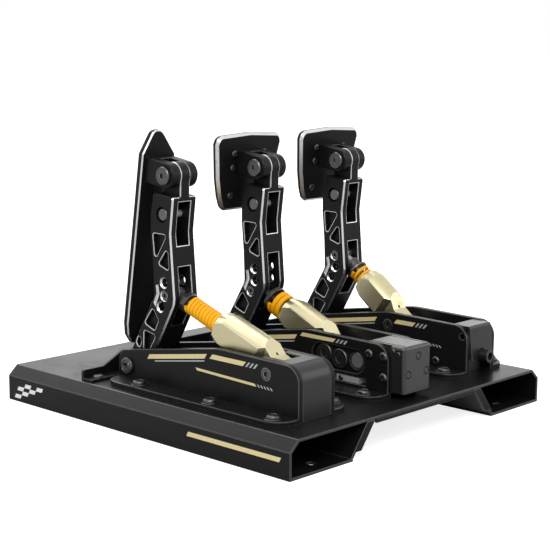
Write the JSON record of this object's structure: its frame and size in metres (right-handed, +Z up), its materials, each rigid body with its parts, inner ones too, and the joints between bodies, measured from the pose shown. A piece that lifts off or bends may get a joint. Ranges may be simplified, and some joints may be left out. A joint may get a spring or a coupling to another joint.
{
  "type": "sim racing pedal set",
  "caption": "Sim racing pedals on a folded steel base: long throttle, brake and clutch arms, each with a gold damper, a yellow spring and a tilting face.",
  "frame": {"origin": "centre of the base's footprint on the floor", "axes": "+X to the driver's right, +Y away from the driver, +Z up"},
  "size_m": [0.4, 0.42, 0.3001],
  "materials": {
    "satin_black_steel": "satin powder coat, near black",
    "anodised_black": "black anodised with bright cut edges",
    "cover_black": "fine satin black",
    "champagne_gold": "champagne gold anodised, fine satin",
    "spring_yellow": "glossy yellow coated spring steel",
    "steel": "dark zinc plated steel",
    "bolt_black": "black oxide steel with worn sheen",
    "silver": "bright turned aluminium",
    "grip_black": "fine textured black"
  },
  "bodies": {
    "base": {"base_plate": "satin_black_steel", "end_strips": "satin_black_steel", "channel_walls": "satin_black_steel", "heel_stop": "satin_black_steel", "heel_screws": "bolt_black", "flange_bolts": "bolt_black", "pivot_axles": "steel", "pivot_bolts": "bolt_black", "pivot_bushes": "silver", "foot_pins": "bolt_black", "throttle_cover": "cover_black", "brake_cover": "cover_black", "cover_screws": "bolt_black", "brake_load_cell": "silver", "brake_disc_bolt": "bolt_black", "clutch_cover": "cover_black", "clutch_cable_port": "satin_black_steel", "throttle_plate_right": "anodised_black", "throttle_plate_left": "anodised_black", "brake_plate_right": "anodised_black", "brake_plate_left": "anodised_black", "clutch_plate_right": "anodised_black", "clutch_plate_left": "anodised_black"},
    "throttle_lever": {"throttle_arm": "anodised_black", "throttle_arm_pin": "silver", "throttle_damper_bolt": "bolt_black", "throttle_tilt_bolt": "bolt_black"},
    "throttle_pedal_face": {"throttle_bracket": "anodised_black", "throttle_pad_plate": "anodised_black", "throttle_pad_grip": "grip_black"},
    "throttle_cylinder": {"throttle_damper_body": "champagne_gold"},
    "throttle_plunger": {"throttle_rod": "steel", "throttle_collar": "bolt_black", "throttle_spring": "spring_yellow"},
    "brake_lever": {"brake_arm": "anodised_black", "brake_arm_pin": "silver", "brake_damper_bolt": "bolt_black", "brake_tilt_bolt": "bolt_black"},
    "brake_pedal_face": {"brake_bracket": "anodised_black", "brake_pad_plate": "anodised_black", "brake_pad_grip": "grip_black", "brake_pad_screws": "bolt_black"},
    "brake_cylinder": {"brake_damper_body": "champagne_gold"},
    "brake_plunger": {"brake_rod": "steel", "brake_collar": "steel", "brake_spring": "spring_yellow"},
    "clutch_lever": {"clutch_arm": "anodised_black", "clutch_arm_pin": "silver", "clutch_damper_bolt": "bolt_black", "clutch_tilt_bolt": "bolt_black"},
    "clutch_pedal_face": {"clutch_bracket": "anodised_black", "clutch_pad_plate": "anodised_black", "clutch_pad_grip": "grip_black", "clutch_pad_screws": "bolt_black"},
    "clutch_cylinder": {"clutch_damper_body": "champagne_gold"},
    "clutch_plunger": {"clutch_rod": "steel", "clutch_collar": "bolt_black", "clutch_spring": "spring_yellow"}
  },
  "joints": [
    {"name": "throttle_press", "type": "hinge", "parent": "base", "child": "throttle_lever", "pos_m": [0.1273, -0.0646, 0.0537], "axis": [-1, 0, 0], "range_deg": [0, 12], "stiffness_Nm_per_rad": 40, "springref_deg": -2.86},
    {"name": "throttle_face_tilt", "type": "hinge", "parent": "throttle_lever", "child": "throttle_pedal_face", "pos_m": [0.1273, -0.0154, 0.2553], "axis": [-1, 0, 0], "range_deg": [-1.5, 8]},
    {"name": "throttle_cylinder_swing", "type": "hinge", "parent": "base", "child": "throttle_cylinder", "pos_m": [0.1273, 0.1353, 0.0785], "axis": [-1, 0, 0], "range_deg": [-2.13, 0]},
    {"name": "throttle_rod_slide", "type": "slide", "parent": "throttle_cylinder", "child": "throttle_plunger", "axis": [0, 0.9424, -0.3346], "range_m": [0, 0.01843], "deforming": ["throttle_spring"]},
    {"name": "brake_press", "type": "hinge", "parent": "base", "child": "brake_lever", "pos_m": [-0.004, -0.0646, 0.0537], "axis": [-1, 0, 0], "range_deg": [0, 6], "stiffness_Nm_per_rad": 600, "springref_deg": -0.57},
    {"name": "brake_face_tilt", "type": "hinge", "parent": "brake_lever", "child": "brake_pedal_face", "pos_m": [-0.004, -0.0154, 0.2553], "axis": [-1, 0, 0], "range_deg": [-8, 8]},
    {"name": "brake_cylinder_swing", "type": "hinge", "parent": "base", "child": "brake_cylinder", "pos_m": [-0.004, 0.0912, 0.071], "axis": [-1, 0, 0], "range_deg": [-0.765, 0]},
    {"name": "brake_rod_slide", "type": "slide", "parent": "brake_cylinder", "child": "brake_plunger", "axis": [0, 0.9182, -0.3962], "range_m": [0, 0.00811], "deforming": ["brake_spring"]},
    {"name": "clutch_press", "type": "hinge", "parent": "base", "child": "clutch_lever", "pos_m": [-0.1365, -0.0646, 0.0537], "axis": [-1, 0, 0], "range_deg": [0, 11], "stiffness_Nm_per_rad": 60, "springref_deg": -2.29},
    {"name": "clutch_face_tilt", "type": "hinge", "parent": "clutch_lever", "child": "clutch_pedal_face", "pos_m": [-0.1365, -0.0154, 0.2553], "axis": [-1, 0, 0], "range_deg": [-8, 8]},
    {"name": "clutch_cylinder_swing", "type": "hinge", "parent": "base", "child": "clutch_cylinder", "pos_m": [-0.1365, 0.0697, 0.0784], "axis": [-1, 0, 0], "range_deg": [0, 1.32]},
    {"name": "clutch_rod_slide", "type": "slide", "parent": "clutch_cylinder", "child": "clutch_plunger", "axis": [0, 0.7912, -0.6115], "range_m": [0, 0.01976], "deforming": ["clutch_spring"]}
  ],
  "couplings": [
    {"joint": "throttle_cylinder_swing", "follows": "throttle_press", "ratio": -0.17642},
    {"joint": "throttle_rod_slide", "follows": "throttle_press", "m_per_rad": 0.087748},
    {"joint": "brake_cylinder_swing", "follows": "brake_press", "ratio": -0.12582},
    {"joint": "brake_rod_slide", "follows": "brake_press", "m_per_rad": 0.076928},
    {"joint": "clutch_cylinder_swing", "follows": "clutch_press", "ratio": 0.1195},
    {"joint": "clutch_rod_slide", "follows": "clutch_press", "m_per_rad": 0.10265}
  ]
}
